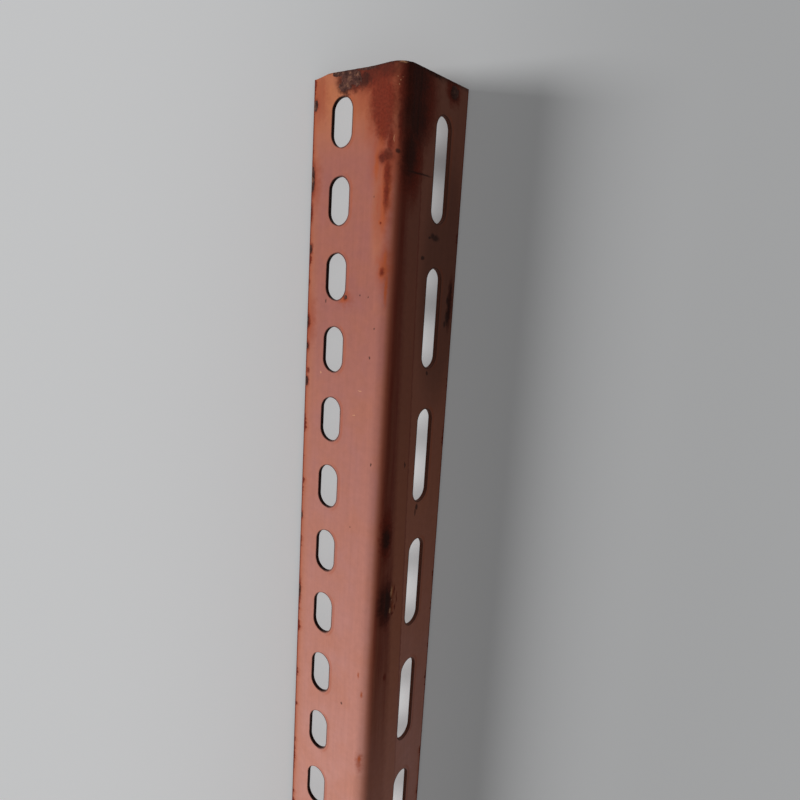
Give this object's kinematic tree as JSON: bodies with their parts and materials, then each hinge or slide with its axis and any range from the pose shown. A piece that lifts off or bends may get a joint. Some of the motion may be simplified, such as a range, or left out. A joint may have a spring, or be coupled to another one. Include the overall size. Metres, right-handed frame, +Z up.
{
  "type": "slotted shelving angle",
  "caption": "Length of steel slotted angle for shelving, red-oxide painted: short slots down one flange and long slots down the other, with a round bend and rust along the edges.",
  "frame": {"origin": "middle of the length and width, on the floor that the two free edges rest on", "axes": "+Y along the angle towards the cut end seen in the picture, +X across it towards the flange with the long slots, +Z up through the bend"},
  "size_m": [0.0538, 1.8288, 0.0255],
  "materials": {
    "red_oxide_paint": "matt red-oxide primer on steel, with rust along the edges, on the cut end and in spots"
  },
  "bodies": {
    "root": {"slotted_angle": "red_oxide_paint"}
  },
  "joints": []
}
